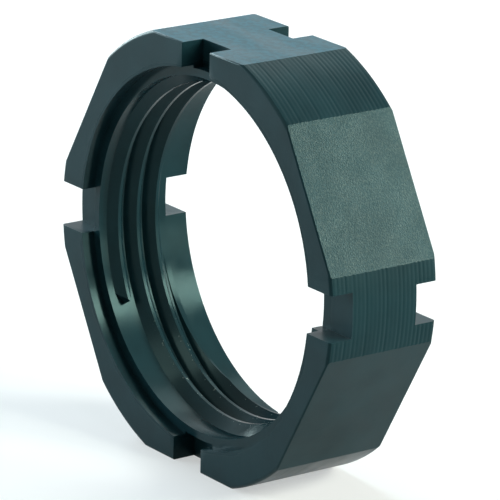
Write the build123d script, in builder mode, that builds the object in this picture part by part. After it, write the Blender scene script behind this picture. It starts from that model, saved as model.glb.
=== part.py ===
from build123d import *
import os
from math import cos, radians, sin, tan

os.makedirs("parts", exist_ok=True)

# Lock nut for a plastic cable gland, moulded in one piece, in millimetres.
# It stands on one of its flats: the thread's axis runs along Y, the front face looks along -Y
# and the origin is under the middle of the flat that it stands on.
# The nut is drawn lying down, with its front face at Z = 0 and depths going down from there,
# and angles counter-clockwise from a corner, as seen from the front.

# Thread: Pg 16 conduit thread, the size of the gland that it locks
thread_diameter = 22.5
thread_pitch = 1.411
flank_angle = 80.0
crest_flat = 0.2
root_flat = 0.09

# Outside: a hexagon with its corners turned down to a disc
flat_count = 6
thickness = 7.8
flat_wall = 2.0
corner_rise = 0.82
flat_edge_radius = 0.1
corner_edge_radius = 0.25

# Plain counterbores in front of the thread and behind it, wider than the thread's root
front_bore_depth = 0.87
front_bore_step = 0.55
back_bore_depth = 1.9
back_bore_step = 0.38

# Land between the front counterbore and the thread, a little narrower than the thread's root
land_width = 0.69
land_step = 0.1

# Castle notches, the same number in both faces. The back ones open into the back counterbore.
# The front ones stop short of the bore, but for the one at the first corner, which goes right
# through to the thread and sits a little to one side.
notch_count = 4
front_notch_width = 2.85
front_notch_depth = 1.56
front_notch_step = 0.38
open_notch_shift = 0.12
back_notch_width = 2.5
back_notch_depth = 1.55

# Front end of the thread's ridge, which is cut to a point
ridge_start_depth = 1.9
ridge_start_angle = 211.0
tip_length = 0.9

# Back end of the ridge, just behind the floor of the back counterbore, where it fades out
ridge_tail = 0.32
fade_step = 1.25
fade_depth = 0.37

# How far the ridge reaches into the wall, and a tool past the surface that it cuts
ridge_root = 0.3
overlap = 0.03

flank_slope = tan(radians(flank_angle / 2))
thread_depth = (thread_pitch - crest_flat - root_flat) / 2 / flank_slope
root_radius = thread_diameter / 2
crest_radius = root_radius - thread_depth
flat_radius = root_radius + flat_wall
corner_radius = flat_radius + corner_rise
front_bore_radius = root_radius + front_bore_step
back_bore_radius = root_radius + back_bore_step
back_bore_floor = thickness - back_bore_depth
land_radius = root_radius - land_step
land_end = Plane.XY.offset(-front_bore_depth - land_width)
notch_angle = 360 / notch_count


def polar(radius, angle):
    """Point at this radius and angle about the thread's axis."""
    return radius * cos(radians(angle)), radius * sin(radians(angle))


# Ridge of the thread: its profile swept up a right-hand helix, from its back end to its tip.
# It is drawn a little too high, for the bore to trim.
base_half = (thread_pitch - root_flat) / 2 + overlap * flank_slope
crest_half = crest_flat / 2 - overlap * flank_slope
ridge_end_depth = back_bore_floor + ridge_tail
ridge_rise = ridge_end_depth - ridge_start_depth
ridge_end_angle = ridge_start_angle - 360 * ridge_rise / thread_pitch

with BuildPart() as swept_ridge:
    with BuildLine() as path:
        Helix(thread_pitch, ridge_rise, root_radius, center=(0, 0, -ridge_end_depth))
    with BuildSketch(Plane.XZ):
        with BuildLine():
            Polyline(
                (root_radius + ridge_root, -ridge_end_depth - base_half),
                (root_radius + overlap, -ridge_end_depth - base_half),
                (crest_radius - overlap, -ridge_end_depth - crest_half),
                (crest_radius - overlap, -ridge_end_depth + crest_half),
                (root_radius + overlap, -ridge_end_depth + base_half),
                (root_radius + ridge_root, -ridge_end_depth + base_half),
                close=True,
            )
        make_face()
    sweep(path=path.line, is_frenet=True)

# Seen from the axis, the tip's plane has the way round the bore along X and the front along Y
tip_plane = Plane(
    origin=(0, 0, -ridge_start_depth),
    x_dir=(*polar(1, ridge_start_angle + 90), 0),
    z_dir=(*polar(1, ridge_start_angle), 0),
)

with BuildPart() as ridge:
    add(swept_ridge.part, rotation=(0, 0, ridge_end_angle))
    with BuildSketch(tip_plane):
        Rectangle(2 * tip_length, thread_pitch)
        with BuildLine():
            Polyline((0, 0), (-tip_length, base_half), (-tip_length, -base_half), close=True)
        make_face(mode=Mode.SUBTRACT)
    extrude(amount=root_radius + 2 * ridge_root, mode=Mode.SUBTRACT)
    with BuildSketch(Plane.XY.offset(-back_bore_floor - overlap)):
        with Locations(polar(fade_step + overlap, ridge_end_angle)):
            Circle(root_radius - fade_step)
    extrude(amount=fade_depth + overlap, mode=Mode.SUBTRACT)

# What the ridge leaves open of the bore, behind the end of the land and then inside the land
with BuildPart() as thread_core:
    with BuildSketch():
        Circle(root_radius)
    extrude(amount=-back_bore_floor - overlap)
    add(ridge.part, mode=Mode.SUBTRACT)
    split(bisect_by=land_end, keep=Keep.BOTTOM)

with BuildPart() as ridge_front:
    add(ridge.part)
    split(bisect_by=land_end, keep=Keep.TOP)

with BuildPart() as land_core:
    with BuildSketch():
        Circle(land_radius)
    extrude(amount=-back_bore_floor)
    add(ridge_front.part, mode=Mode.SUBTRACT)
    split(bisect_by=land_end, keep=Keep.TOP)

with BuildPart() as disc:
    with BuildSketch():
        Circle(corner_radius)
    extrude(amount=-thickness)
    fillet(disc.edges().filter_by(GeomType.CIRCLE), corner_edge_radius)

# The nut, lying down
with BuildPart() as nut:
    with BuildSketch():
        RegularPolygon(flat_radius, flat_count, major_radius=False)
    extrude(amount=-thickness)
    fillet(nut.faces().filter_by(Axis.Z).edges(), flat_edge_radius)
    add(disc.part, mode=Mode.INTERSECT)
    with BuildSketch():
        Circle(front_bore_radius)
    extrude(amount=-front_bore_depth, mode=Mode.SUBTRACT)
    add(land_core.part, mode=Mode.SUBTRACT)
    add(thread_core.part, mode=Mode.SUBTRACT)
    with BuildSketch():
        Circle(crest_radius)
    extrude(amount=-thickness, mode=Mode.SUBTRACT)
    with BuildSketch(Plane.XY.offset(-thickness)):
        Circle(back_bore_radius)
    extrude(amount=back_bore_depth, mode=Mode.SUBTRACT)
    # Front notches, the open one last, and then the back notches
    with BuildSketch():
        with PolarLocations(corner_radius, notch_count - 1, notch_angle, 360 - notch_angle):
            Rectangle(2 * (corner_radius - root_radius), front_notch_width)
        Circle(root_radius + front_notch_step, mode=Mode.SUBTRACT)
        with Locations((corner_radius, open_notch_shift)):
            Rectangle(2 * (corner_radius - crest_radius), front_notch_width)
    extrude(amount=-front_notch_depth, mode=Mode.SUBTRACT)
    with BuildSketch(Plane.XY.offset(-thickness)):
        with PolarLocations(corner_radius, notch_count):
            Rectangle(2 * (corner_radius - root_radius), back_notch_width)
        Circle(back_bore_radius, mode=Mode.SUBTRACT)
    extrude(amount=back_notch_depth, mode=Mode.SUBTRACT)

# The nut, stood on its bottom flat
with BuildPart() as lock_nut:
    with Locations((0, -thickness / 2, flat_radius)):
        add(nut.part, rotation=(90, 0, 0))

lock_nut.part.label = "lock_nut"
export_step(lock_nut.part, "parts/lock_nut.step")
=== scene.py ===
import math

import bmesh
import bpy
from mathutils import Matrix, Vector


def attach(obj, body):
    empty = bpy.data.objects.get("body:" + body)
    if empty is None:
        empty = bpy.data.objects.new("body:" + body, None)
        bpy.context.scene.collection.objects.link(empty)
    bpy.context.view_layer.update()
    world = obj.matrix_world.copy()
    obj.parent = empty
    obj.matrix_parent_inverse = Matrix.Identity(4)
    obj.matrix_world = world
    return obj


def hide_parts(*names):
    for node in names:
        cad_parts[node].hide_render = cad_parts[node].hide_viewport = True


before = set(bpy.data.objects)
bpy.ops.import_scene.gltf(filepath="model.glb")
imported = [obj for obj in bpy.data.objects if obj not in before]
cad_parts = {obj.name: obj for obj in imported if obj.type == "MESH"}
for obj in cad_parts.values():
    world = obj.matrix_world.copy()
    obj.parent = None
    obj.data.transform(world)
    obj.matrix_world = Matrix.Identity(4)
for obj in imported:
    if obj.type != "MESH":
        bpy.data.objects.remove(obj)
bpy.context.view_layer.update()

# Sizes of the nut, in metres, that the marks on its surfaces follow
MM = 0.001
THICKNESS = 7.8 * MM
FLAT_RADIUS = 13.25 * MM
CORNER_RADIUS = 14.07 * MM
LIP_RADIUS = 11.8 * MM
CREST_RADIUS = 10.58 * MM
CENTRE = Vector((0, 0, FLAT_RADIUS))

# Turning marks round the corners, cut by a disc with uneven grooves that stands past both faces
MARK_PITCH = 0.3 * MM
MARK_DEPTH = 0.018 * MM
MARK_SHARPNESS = 1.5
SHALLOWEST_MARK = 0.2
DEEPEST_MARK = 1.0
MARK_STEPS = 6
MARK_SKIN = 0.012 * MM
MARK_FACETS = 360
MARK_SEED = 7
DISC_MARGIN = 2 * MARK_PITCH
DISC_THICKNESS = THICKNESS + 2 * DISC_MARGIN
DISC_STEPS = round(DISC_THICKNESS / MARK_PITCH * MARK_STEPS)

# Broken edges of the castle notches, and how a notch is told from the faces round it
NOTCH_EDGE = 0.09 * MM
NOTCH_EDGE_STEPS = 3
NOTCH_EDGE_ROUNDNESS = 0.5
NOTCH_EDGE_ANGLE = math.radians(60)
NOTCH_INNER_RADIUS = LIP_RADIUS - 0.02 * MM
NOTCH_LEAST_DEPTH = 0.5 * MM

# How near points, planes and directions come to count as the same, before turning and after
SAME_POINT = 0.0005 * MM
SAME_PLANE = 0.001 * MM
SAME_FACE_ANGLE = math.radians(0.05)
SAME_TURNED_POINT = 0.0002 * MM
SAME_TURNED_PLANE = 0.002 * MM
STRAIGHT_ALONG = 0.999
SQUARE_ACROSS = 0.9999
ACROSS_AXIS = 0.001

# Even shading over the flats, with crisp edges kept
CRISP_ANGLE = math.radians(38)
LARGE_FACE_WEIGHT = 100

# Grain of the flats, full where they face up at a slant, where painted light also lies on the specks,
# and how the painted sheen from above falls off round them
GRAINED_AND_LIT_FLATS = (0.3, 0.7)
FULL_GRAIN = 1.0
LIGHT_GRAIN = 0.06
PAINTED_SHEEN_FALL = 4

# Colours of the polyamide, and how much of the painted bluish sheen from above and of the painted light
# on the grain specks lies on it
DARK_PLASTIC = (0.0055, 0.022, 0.028, 1)
LIGHT_PLASTIC = (0.0085, 0.032, 0.040, 1)
PAINTED_SHEEN_COLOUR = (0.008, 0.112, 0.160, 1)
PAINTED_SHEEN_SHARE = 0.7
PAINTED_LIGHT_ON_GRAIN = (0.091, 0.119, 0.109, 1)
PAINTED_LIGHT_ON_GRAIN_SHARE = 0.6
FLECK = (0.20, 0.27, 0.26, 1)

# Patterns of the polyamide: scale per metre, detail, and the stretch of some
CLOUDS = (260, 4.0)
FLOW = (200, 3.0, (1.0, 3.0, 3.0))
SPECKS = (9000, 1.0)
SHEEN_PATCHES = (2600, 3.0)
FLECKS = (5200, 1.0)
GRAIN = (11000, 3.0)
FINE_SKIN = (9000, 2.0)
STROKES = (2500, 2.0, (1.0, 1.0, 0.03))
SINKS = (420, 3.0)

# Smooth steps: where each starts and ends, and what it gives there if not 0 and 1
CLOUD_STEP = (0.3, 0.7)
PAINTED_SHEEN_STEP = (0.3, 0.68, 0.8, 1.0)
SHEEN_PATCH_STEP = (0.38, 0.62, 0.55, 1.1)
SPECK_STEP = (0.42, 0.72, 0.12, 0.66)
FLECK_STEP = (0.68, 0.74)
CREST_STEP = (CREST_RADIUS + 0.05 * MM, CREST_RADIUS + 0.2 * MM, 1.0, 0.0)
LOW_STEP = (3 * MM, 8 * MM, 1.0, 0.0)

# Roughness: lower in the bore than outside its lip, and drifting in slow clouds
BORE_ROUGHNESS = 0.19
OUTER_ROUGHNESS = 0.32
LIP_STEP = (LIP_RADIUS, LIP_RADIUS + 0.3 * MM, BORE_ROUGHNESS, OUTER_ROUGHNESS)
DRIFT_STEP = (0.35, 0.65, -0.04, 0.04)
GRAIN_ROUGHNESS = 0.1

# Heights of the patterns that can be felt
GRAIN_HEIGHT = 0.026 * MM
FINE_HEIGHT = 0.003 * MM
STROKE_HEIGHT = 0.002 * MM
SINK_HEIGHT = 0.02 * MM

# Gloss of the polyamide
GLOSS_LEVEL = 0.14
GLOSS_TINT = (0.58, 1.0, 1.0, 1)

# Pale table, which glows more where the lamps don't reach, and white surroundings
TABLE_WIDTH = 3.0
TABLE_COLOUR = (0.45, 0.45, 0.45, 1)
TABLE_GLOW_COLOUR = (0.97, 1, 1, 1)
TABLE_GLOW_STEP = (0.12, 0.6, 0.5, 1.0)
WHITE = (1, 1, 1, 1)
WORLD_LIGHT = 0.02

# Soft round lamps: name, azimuth and elevation in degrees, watts and colour
LAMP_SIZE = 0.10
LAMP_DISTANCE = 0.28
LAMPS = (
    ("right lamp", 58, 22, 0.82, (1.0, 1.0, 0.90)),
    ("high right lamp", 36, 33, 0.45, (0.96, 1.0, 0.88)),
    ("low right lamp", 34, 3, 0.07, (1.0, 1.0, 0.86)),
    ("high rear lamp", 124, 48, 0.038, (0.86, 1.0, 1.0)),
    ("low rear lamp", 146, 20, 0.005, (0.60, 1.0, 1.2)),
    ("left lamp", 172, 30, 0.46, (0.80, 1.0, 1.12)),
    ("low left lamp", 184, 10, 0.42, (0.85, 1.0, 1.0)),
    ("front lamp", -148, 12, 0.50, (0.84, 1.0, 1.08)),
    ("high front lamp", -99, 38, 0.08, (1.0, 1.0, 0.92)),
    ("top lamp", 0, 89, 0.08, (0.80, 1.0, 1.14)),
)

# Camera: its film and lens, how far it sees, and where it stands and points
FILM_WIDTH = 36.0
LENS = 332.97
SIGHT = 10.0
CAMERA_RIGHT = Vector((0.58738, 0.80893, 0.02476))
CAMERA_UP = Vector((-0.25698, 0.15742, 0.95351))
CAMERA_PLACE = Vector((0.21583, -0.15882, 0.09763))

# Numbers of the sockets that share their names with others of the same node
MIX_SHARE = 0
MIX_FIRST = 6
MIX_SECOND = 7
MIX_RESULT = 2
RANDOM_LEAST = 2
RANDOM_MOST = 3
RANDOM_RESULT = 1


def node(tree, kind, inputs=None, **settings):
    """Add a node with these properties, and with its inputs given or linked."""
    made = tree.nodes.new(kind)
    for key, value in settings.items():
        setattr(made, key, value)
    for name, content in (inputs or {}).items():
        if isinstance(content, bpy.types.NodeSocket):
            tree.links.new(content, made.inputs[name])
        else:
            made.inputs[name].default_value = content
    return made


def math_node(tree, operation, first, *second):
    """Add a Math node and return its result."""
    inputs = dict(enumerate((first, *second)))
    return node(tree, "ShaderNodeMath", inputs, operation=operation).outputs[0]


def product(tree, first, *others):
    """Multiply values one after another."""
    for other in others:
        first = math_node(tree, "MULTIPLY", first, other)
    return first


def total(tree, first, *others):
    """Add up values one after another."""
    for other in others:
        first = math_node(tree, "ADD", first, other)
    return first


def from_axis(point):
    """Distance from the thread's axis, which runs along Y."""
    return math.hypot(point.x, point.z - CENTRE.z)


def is_notch_face(face):
    """True for a wall or a floor of a castle notch."""
    way = face.normal
    middle = face.calc_center_median()
    if abs(way.y) > STRAIGHT_ALONG:
        return abs(abs(middle.y) - THICKNESS / 2) > NOTCH_LEAST_DEPTH
    on_flat = abs(abs(middle.z - CENTRE.z) - FLAT_RADIUS) < SAME_PLANE
    return max(abs(way.x), abs(way.z)) > SQUARE_ACROSS and not on_flat


def is_notch_edge(edge):
    """True for an outward edge round a castle notch."""
    if len(edge.link_faces) != 2 or not edge.is_convex:
        return False
    if edge.calc_face_angle() < NOTCH_EDGE_ANGLE:
        return False
    if min(from_axis(v.co) for v in edge.verts) < NOTCH_INNER_RADIUS:
        return False
    return any(is_notch_face(f) for f in edge.link_faces)


def is_flat(face):
    """True for a face that lies in one of the hexagon's flats."""
    away = (face.calc_center_median() - CENTRE).dot(face.normal)
    return abs(face.normal.y) < ACROSS_AXIS and abs(away - FLAT_RADIUS) < SAME_TURNED_PLANE


def nut_copy():
    """Copy the nut as one closed surface and break the edges of its notches."""
    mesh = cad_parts["lock_nut"].data.copy()
    mesh.name = "nut"
    form = bmesh.new()
    form.from_mesh(mesh)
    bmesh.ops.remove_doubles(form, verts=form.verts, dist=SAME_POINT)
    bmesh.ops.dissolve_limit(form, angle_limit=SAME_FACE_ANGLE, verts=form.verts, edges=form.edges)
    bmesh.ops.bevel(
        form,
        geom=[e for e in form.edges if is_notch_edge(e)],
        offset=NOTCH_EDGE,
        offset_type="OFFSET",
        segments=NOTCH_EDGE_STEPS,
        profile=NOTCH_EDGE_ROUNDNESS,
        affect="EDGES",
        clamp_overlap=True,
    )
    bmesh.ops.remove_doubles(form, verts=form.verts, dist=SAME_POINT)
    bmesh.ops.triangulate(form, faces=form.faces)
    form.to_mesh(mesh)
    form.free()
    mesh.materials.clear()
    nut = bpy.data.objects.new("nut", mesh)
    bpy.context.scene.collection.objects.link(nut)
    return nut


def groove_depth(tree, source, height):
    """Depth of the grooves round a disc that lies flat, at this height on it."""
    turns = math_node(tree, "DIVIDE", height, source["Groove pitch"])
    wave = math_node(tree, "COSINE", product(tree, turns, 2 * math.pi))
    dip = math_node(tree, "SUBTRACT", 0.5, product(tree, wave, 0.5))
    dip = math_node(tree, "POWER", dip, source["Groove sharpness"])
    uneven = node(tree, "FunctionNodeRandomValue", {
        RANDOM_LEAST: source["Shallowest groove"],
        RANDOM_MOST: source["Deepest groove"],
        "ID": math_node(tree, "FLOOR", turns),
        "Seed": source["Seed"],
    }, data_type="FLOAT").outputs[RANDOM_RESULT]
    return product(tree, dip, uneven, source["Groove depth"])


def grooved_disc(tree, source):
    """Disc with grooves round it, marked as turned and stood up along the thread's axis."""
    disc = node(tree, "GeometryNodeMeshCylinder", {
        "Vertices": source["Facets"],
        "Side Segments": source["Steps"],
        "Radius": source["Disc radius"],
        "Depth": source["Disc thickness"],
    }, fill_type="NGON")
    place = node(tree, "GeometryNodeInputPosition").outputs[0]
    parts = node(tree, "ShaderNodeSeparateXYZ", {0: place}).outputs
    sideways = node(tree, "ShaderNodeCombineXYZ", {"X": parts["X"], "Y": parts["Y"]}).outputs[0]
    outward = node(tree, "ShaderNodeVectorMath", {0: sideways}, operation="NORMALIZE").outputs["Vector"]
    inward = node(tree, "ShaderNodeVectorMath", {
        0: outward,
        "Scale": product(tree, groove_depth(tree, source, parts["Z"]), -1.0),
    }, operation="SCALE")
    grooved = node(tree, "GeometryNodeSetPosition", {
        "Geometry": disc.outputs["Mesh"],
        "Offset": inward.outputs["Vector"],
    })
    marked = node(tree, "GeometryNodeStoreNamedAttribute", {
        "Geometry": grooved.outputs[0],
        "Name": "turned",
        "Value": 1.0,
    }, data_type="FLOAT", domain="FACE")
    lift = node(tree, "ShaderNodeCombineXYZ", {"Z": source["Axis height"]})
    stood = node(tree, "GeometryNodeTransform", {
        "Geometry": marked.outputs[0],
        "Translation": lift.outputs[0],
        "Rotation": (math.radians(90), 0, 0),
    })
    return stood.outputs[0]


def turning_marks():
    """Tree that turns a solid's outside down to a disc with fine grooves round it."""
    tree = bpy.data.node_groups.new("turning marks", "GeometryNodeTree")
    tree.interface.new_socket("Nut", in_out="INPUT", socket_type="NodeSocketGeometry")
    for name, kind, value in (
        ("Disc radius", "NodeSocketFloat", CORNER_RADIUS - MARK_SKIN),
        ("Disc thickness", "NodeSocketFloat", DISC_THICKNESS),
        ("Axis height", "NodeSocketFloat", FLAT_RADIUS),
        ("Groove pitch", "NodeSocketFloat", MARK_PITCH),
        ("Groove depth", "NodeSocketFloat", MARK_DEPTH),
        ("Groove sharpness", "NodeSocketFloat", MARK_SHARPNESS),
        ("Shallowest groove", "NodeSocketFloat", SHALLOWEST_MARK),
        ("Deepest groove", "NodeSocketFloat", DEEPEST_MARK),
        ("Steps", "NodeSocketInt", DISC_STEPS),
        ("Facets", "NodeSocketInt", MARK_FACETS),
        ("Seed", "NodeSocketInt", MARK_SEED),
    ):
        socket = tree.interface.new_socket(name, in_out="INPUT", socket_type=kind)
        socket.default_value = value
    tree.interface.new_socket("Material", in_out="INPUT", socket_type="NodeSocketMaterial")
    tree.interface.new_socket("Nut", in_out="OUTPUT", socket_type="NodeSocketGeometry")
    source = tree.nodes.new("NodeGroupInput").outputs
    common = node(tree, "GeometryNodeMeshBoolean", operation="INTERSECT", solver="EXACT")
    tree.links.new(grooved_disc(tree, source), common.inputs["Mesh 2"])
    tree.links.new(source["Nut"], common.inputs["Mesh 2"])
    real = node(tree, "GeometryNodeRealizeInstances", {"Geometry": common.outputs["Mesh"]})
    skin = node(tree, "GeometryNodeSetMaterial", {
        "Geometry": real.outputs[0],
        "Material": source["Material"],
    })
    result = tree.nodes.new("NodeGroupOutput")
    tree.links.new(skin.outputs[0], result.inputs["Nut"])
    return tree


def bake(piece):
    """Keep what a piece's modifiers make of it as a plain mesh."""
    bpy.context.view_layer.update()
    depsgraph = bpy.context.evaluated_depsgraph_get()
    piece.data = bpy.data.meshes.new_from_object(piece.evaluated_get(depsgraph))
    piece.modifiers.clear()


def turn_corners(nut, material):
    """Run the turning marks on the nut."""
    tree = turning_marks()
    marks = nut.modifiers.new(tree.name, "NODES")
    marks.node_group = tree
    for item in tree.interface.items_tree:
        if item.in_out == "INPUT" and item.name == "Material":
            marks[item.identifier] = material
    bake(nut)


def mark_faces(nut):
    """Mark the flats for their grain, with painted light on the slanted ones, and for the painted sheen
    from above, and keep the edges round them crisp.
    """
    form = bmesh.new()
    form.from_mesh(nut.data)
    bmesh.ops.remove_doubles(form, verts=form.verts, dist=SAME_TURNED_POINT)
    turned = form.faces.layers.float.get("turned")
    grain = form.faces.layers.float.new("grain")
    painted_sheen = form.faces.layers.float.new("painted_sheen")
    flats = {face for face in form.faces if is_flat(face)}
    for face in form.faces:
        face.smooth = True
    for face in flats:
        upward = face.normal.z
        slanted = GRAINED_AND_LIT_FLATS[0] < upward < GRAINED_AND_LIT_FLATS[1]
        # The grain level also sets how much painted light lies on the flat: full on the flats that face
        # up at a slant
        face[grain] = FULL_GRAIN if slanted else LIGHT_GRAIN
        # Painted sheen: more of a light bluish colour the more a flat faces up, standing in for light
        # from above
        face[painted_sheen] = max(0.0, upward) ** PAINTED_SHEEN_FALL
    for edge in form.edges:
        if len(edge.link_faces) != 2:
            continue
        one, two = edge.link_faces
        border = (one in flats) != (two in flats) and one[turned] != two[turned]
        edge.smooth = edge.calc_face_angle() <= CRISP_ANGLE and not border
    form.to_mesh(nut.data)
    form.free()
    even = nut.modifiers.new("even shading", "WEIGHTED_NORMAL")
    even.keep_sharp = True
    even.weight = LARGE_FACE_WEIGHT
    bake(nut)


def blend_colours(tree, share, first, second):
    """Mix two colours and return the result."""
    inputs = {MIX_SHARE: share, MIX_FIRST: first, MIX_SECOND: second}
    return node(tree, "ShaderNodeMix", inputs, data_type="RGBA").outputs[MIX_RESULT]


def noise(tree, place, scale, detail, stretch=None):
    """Noise at this scale per metre, stretched along some axes where wanted."""
    if stretch:
        place = node(tree, "ShaderNodeMapping", {"Vector": place, "Scale": stretch}).outputs[0]
    inputs = {"Vector": place, "Scale": scale, "Detail": detail}
    return node(tree, "ShaderNodeTexNoise", inputs).outputs[0]


def step(tree, value, low, high, at_low=0.0, at_high=1.0):
    """Go smoothly from one value to another between two ends."""
    return node(tree, "ShaderNodeMapRange", {
        "Value": value,
        "From Min": low,
        "From Max": high,
        "To Min": at_low,
        "To Max": at_high,
    }, interpolation_type="SMOOTHSTEP").outputs[0]


def distance_from_axis(tree, place):
    """Distance of a place from the thread's axis."""
    parts = node(tree, "ShaderNodeSeparateXYZ", {0: place}).outputs
    across = math_node(tree, "POWER", parts["X"], 2.0)
    upward = math_node(tree, "POWER", math_node(tree, "SUBTRACT", parts["Z"], FLAT_RADIUS), 2.0)
    return math_node(tree, "SQRT", total(tree, across, upward))


def plastic_colour(tree, place, flow, painted_sheen_and_sinks, grain_and_painted_light):
    """Slow clouds of two dark shades, under a painted bluish sheen on the top flat and grain specks
    painted lighter on the slanted flats.
    """
    clouds = step(tree, noise(tree, place, *CLOUDS), *CLOUD_STEP)
    shade = blend_colours(tree, clouds, DARK_PLASTIC, LIGHT_PLASTIC)
    sheen_patches = step(tree, noise(tree, place, *SHEEN_PATCHES), *SHEEN_PATCH_STEP)
    # Painted sheen: a light bluish colour in patches on the flats that face up, standing in for light
    # from above
    painted_sheen = product(tree, step(tree, flow, *PAINTED_SHEEN_STEP), painted_sheen_and_sinks, sheen_patches, PAINTED_SHEEN_SHARE)
    shade = blend_colours(tree, painted_sheen, shade, PAINTED_SHEEN_COLOUR)
    # Painted light: lighter specks on the grain, mostly on the flats that face up at a slant, standing
    # in for the light that falls on them; the speck pattern follows the grain
    lit_specks = step(tree, noise(tree, place, *SPECKS), *SPECK_STEP)
    return blend_colours(tree, product(tree, lit_specks, grain_and_painted_light, PAINTED_LIGHT_ON_GRAIN_SHARE), shade, PAINTED_LIGHT_ON_GRAIN)


def crest_flecks(tree, place, radius):
    """Where bright flecks lie on the thread's crests, low in the bore."""
    height = node(tree, "ShaderNodeSeparateXYZ", {0: place}).outputs["Z"]
    crest = step(tree, radius, *CREST_STEP)
    low = step(tree, height, *LOW_STEP)
    return product(tree, step(tree, noise(tree, place, *FLECKS), *FLECK_STEP), crest, low)


def plastic_relief(tree, place, painted_sheen_and_sinks, grain_and_painted_light):
    """Spark-eroded grain, a fine skin, upright strokes, and shallow sinks on the top flat."""
    eroded = product(tree, noise(tree, place, *GRAIN), grain_and_painted_light, GRAIN_HEIGHT)
    skin = product(tree, noise(tree, place, *FINE_SKIN), FINE_HEIGHT)
    strokes = product(tree, noise(tree, place, *STROKES), STROKE_HEIGHT)
    sinks = product(tree, noise(tree, place, *SINKS), painted_sheen_and_sinks, SINK_HEIGHT)
    height = total(tree, total(tree, eroded, skin), total(tree, strokes, sinks))
    return node(tree, "ShaderNodeBump", {"Height": height, "Distance": 1.0, "Strength": 1.0}).outputs[0]


def polyamide():
    """Moulded polyamide: semi-gloss in the bore, duller outside, spark-eroded grain on the flats."""
    material = bpy.data.materials.new("moulded polyamide")
    material.use_nodes = True
    tree = material.node_tree
    place = node(tree, "ShaderNodeTexCoord").outputs["Object"]
    # Where the painted sheen from above lies, which also sets where the sinks are
    painted_sheen_and_sinks = node(tree, "ShaderNodeAttribute", attribute_name="painted_sheen").outputs["Fac"]
    # Grain level, which also sets where the painted light on the specks lies
    grain_and_painted_light = node(tree, "ShaderNodeAttribute", attribute_name="grain").outputs["Fac"]
    flow = noise(tree, place, *FLOW)
    radius = distance_from_axis(tree, place)
    shade = plastic_colour(tree, place, flow, painted_sheen_and_sinks, grain_and_painted_light)
    shade = blend_colours(tree, crest_flecks(tree, place, radius), shade, FLECK)
    outer = step(tree, radius, *LIP_STEP)
    drift = step(tree, flow, *DRIFT_STEP)
    rough = total(tree, outer, drift, product(tree, grain_and_painted_light, GRAIN_ROUGHNESS))
    shader = tree.nodes["Principled BSDF"]
    tree.links.new(shade, shader.inputs["Base Color"])
    tree.links.new(rough, shader.inputs["Roughness"])
    tree.links.new(plastic_relief(tree, place, painted_sheen_and_sinks, grain_and_painted_light), shader.inputs["Normal"])
    shader.inputs["Specular IOR Level"].default_value = GLOSS_LEVEL
    shader.inputs["Specular Tint"].default_value = GLOSS_TINT
    return material


def backdrop_light(tree, plain):
    """White where a camera, mirror or glass ray looks, and the plain light elsewhere."""
    rays = node(tree, "ShaderNodeLightPath").outputs
    seen = math_node(tree, "MAXIMUM", rays["Is Camera Ray"], rays["Is Glossy Ray"])
    seen = math_node(tree, "MAXIMUM", seen, rays["Is Transmission Ray"])
    return total(tree, product(tree, seen, 1.0 - plain), plain)


def studio():
    """White surroundings that light the nut only a little."""
    world = bpy.data.worlds.new("studio")
    bpy.context.scene.world = world
    world.use_nodes = True
    background = world.node_tree.nodes["Background"]
    background.inputs["Color"].default_value = WHITE
    light = backdrop_light(world.node_tree, WORLD_LIGHT)
    world.node_tree.links.new(light, background.inputs["Strength"])


def pale_top():
    """Pale matt table top, whose glow grows with the distance from the nut."""
    material = bpy.data.materials.new("pale table")
    material.use_nodes = True
    tree = material.node_tree
    shader = tree.nodes["Principled BSDF"]
    shader.inputs["Base Color"].default_value = TABLE_COLOUR
    shader.inputs["Roughness"].default_value = 1.0
    shader.inputs["Specular IOR Level"].default_value = 0.0
    shader.inputs["Emission Color"].default_value = TABLE_GLOW_COLOUR
    place = node(tree, "ShaderNodeTexCoord").outputs["Object"]
    distance = node(tree, "ShaderNodeVectorMath", {0: place}, operation="LENGTH").outputs["Value"]
    glow = product(tree, backdrop_light(tree, 0.0), step(tree, distance, *TABLE_GLOW_STEP))
    tree.links.new(glow, shader.inputs["Emission Strength"])
    return material


def table():
    """Table under the nut, which keeps its soft shadow."""
    mesh = bpy.data.meshes.new("table")
    half = TABLE_WIDTH / 2
    corners = [(-half, -half, 0), (half, -half, 0), (half, half, 0), (-half, half, 0)]
    mesh.from_pydata(corners, [], [(0, 1, 2, 3)])
    mesh.materials.append(pale_top())
    top = bpy.data.objects.new("table", mesh)
    bpy.context.scene.collection.objects.link(top)


def lamp(name, azimuth, elevation, power, colour):
    """Round soft lamp aimed at the nut."""
    data = bpy.data.lights.new(name, "AREA")
    data.shape = "DISK"
    data.size = LAMP_SIZE
    data.energy = power
    data.color = colour
    turn = math.radians(azimuth)
    rise = math.radians(elevation)
    way = Vector((math.cos(rise) * math.cos(turn), math.cos(rise) * math.sin(turn), math.sin(rise)))
    light = bpy.data.objects.new(name, data)
    light.location = CENTRE + way * LAMP_DISTANCE
    light.rotation_euler = way.to_track_quat("Z", "Y").to_euler()
    bpy.context.scene.collection.objects.link(light)


def camera():
    """Look from the photograph's place."""
    data = bpy.data.cameras.new("camera")
    data.sensor_width = FILM_WIDTH
    data.lens = LENS
    data.clip_end = SIGHT
    back = CAMERA_RIGHT.cross(CAMERA_UP)
    columns = (CAMERA_RIGHT, CAMERA_UP, back, CAMERA_PLACE)
    rows = [[column[i] for column in columns] for i in range(3)]
    viewer = bpy.data.objects.new("camera", data)
    viewer.matrix_world = Matrix((*rows, (0, 0, 0, 1)))
    bpy.context.scene.collection.objects.link(viewer)
    bpy.context.scene.camera = viewer


# Studio
camera()
studio()
table()
for lamp_values in LAMPS:
    lamp(*lamp_values)
bpy.context.scene.view_settings.view_transform = "Standard"

# The nut
nut = nut_copy()
turn_corners(nut, polyamide())
mark_faces(nut)
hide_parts("lock_nut")
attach(nut, "root")
